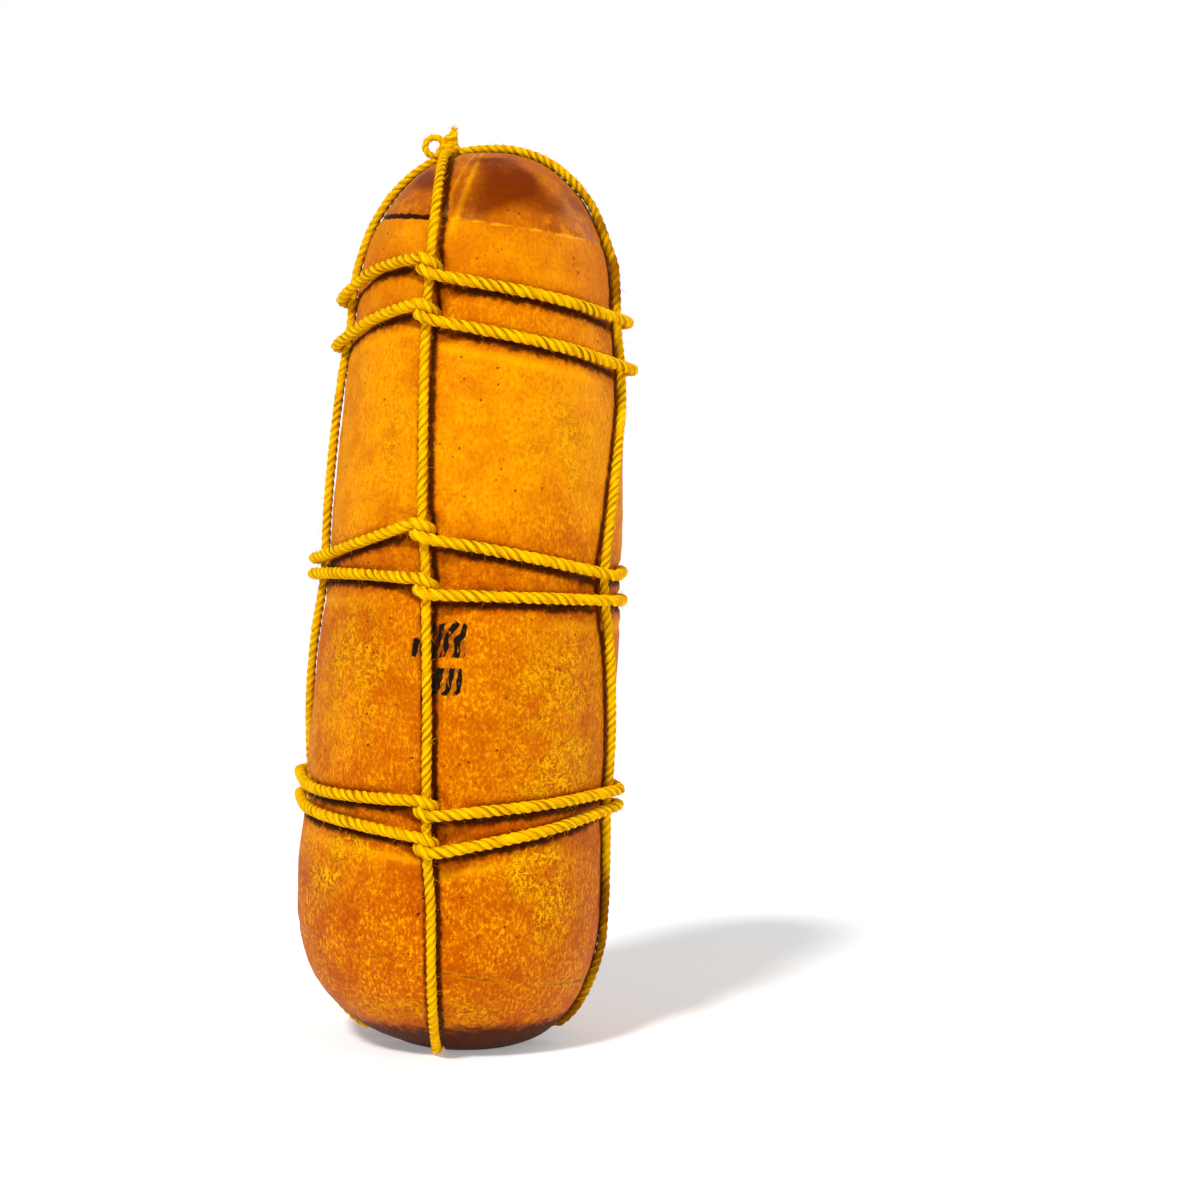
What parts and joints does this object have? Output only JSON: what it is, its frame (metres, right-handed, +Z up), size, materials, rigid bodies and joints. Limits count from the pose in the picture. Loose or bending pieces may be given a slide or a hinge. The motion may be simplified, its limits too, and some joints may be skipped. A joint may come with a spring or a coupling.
{
  "type": "provolone cheese",
  "caption": "Tall log-shaped provolone with a rounded top and a waxed rind, bound lengthwise and crosswise with jute cord and standing on its own flattened end.",
  "frame": {"origin": "on the surface that the cheese stands on, under the middle of its bounding box", "axes": "+Z up along the cheese's height, -Y towards the side that carries the hitches, +X to the right of that side"},
  "size_m": [0.1578, 0.1567, 0.4169],
  "materials": {
    "rind": "waxed, satin",
    "cord": "hairy jute"
  },
  "bodies": {
    "root": {"cheese": "rind", "cord_front_back": "cord", "cord_left_right": "cord", "binding_top_upper": "cord", "binding_top_lower": "cord", "binding_middle_upper": "cord", "binding_middle_lower": "cord", "binding_bottom_upper": "cord", "binding_bottom_lower": "cord", "top_knot": "cord", "knot_tail": "cord"}
  },
  "joints": []
}
